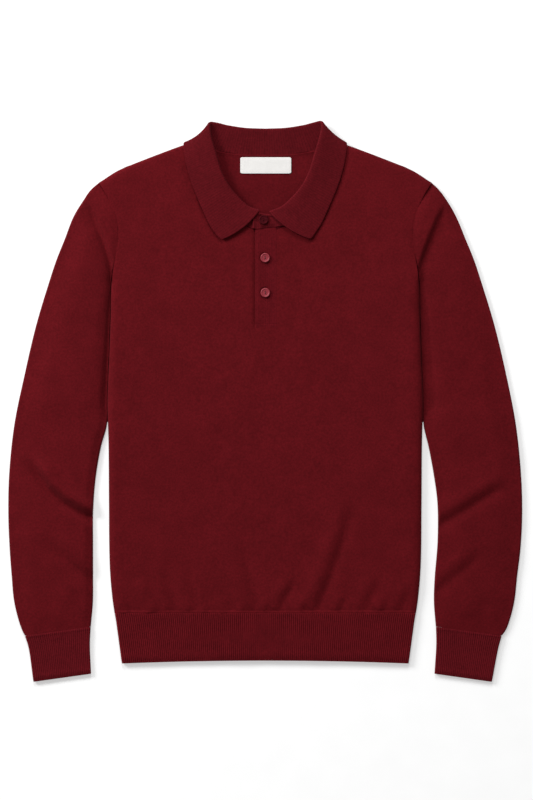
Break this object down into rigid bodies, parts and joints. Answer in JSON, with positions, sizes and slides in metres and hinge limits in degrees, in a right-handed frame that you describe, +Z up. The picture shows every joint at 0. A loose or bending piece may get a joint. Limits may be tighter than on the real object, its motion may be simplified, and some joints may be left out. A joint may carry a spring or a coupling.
{
  "type": "polo sweater",
  "caption": "Long-sleeved fine-knit polo sweater laid flat, with a folded collar, buttoned half placket, ribbed hem and cuffs.",
  "frame": {"origin": "on the surface the garment lies on, under the middle of its outline", "axes": "+X towards the viewer's right, which is the wearer's left; +Y from the hem to the collar; +Z up from the surface, out of the front"},
  "size_m": [0.7031, 0.7673, 0.015],
  "materials": {
    "knit": "fine single-jersey knit, matt with a soft nap",
    "rib": "one-by-one rib, matt",
    "collar_knit": "firm fine rib knit, matt",
    "placket_knit": "firm double knit, matt",
    "button": "polished, slightly pearly",
    "label": "woven satin, bare"
  },
  "bodies": {
    "root": {"front_panel": "knit", "back_panel": "knit", "sleeve_left": "knit", "sleeve_right": "knit", "hem_rib_front": "rib", "hem_rib_back": "rib", "cuff_left": "rib", "cuff_right": "rib", "collar": "collar_knit", "neck_band": "collar_knit", "placket_top": "placket_knit", "placket_under": "placket_knit", "button_top": "button", "button_middle": "button", "button_bottom": "button", "neck_label": "label"}
  },
  "joints": []
}
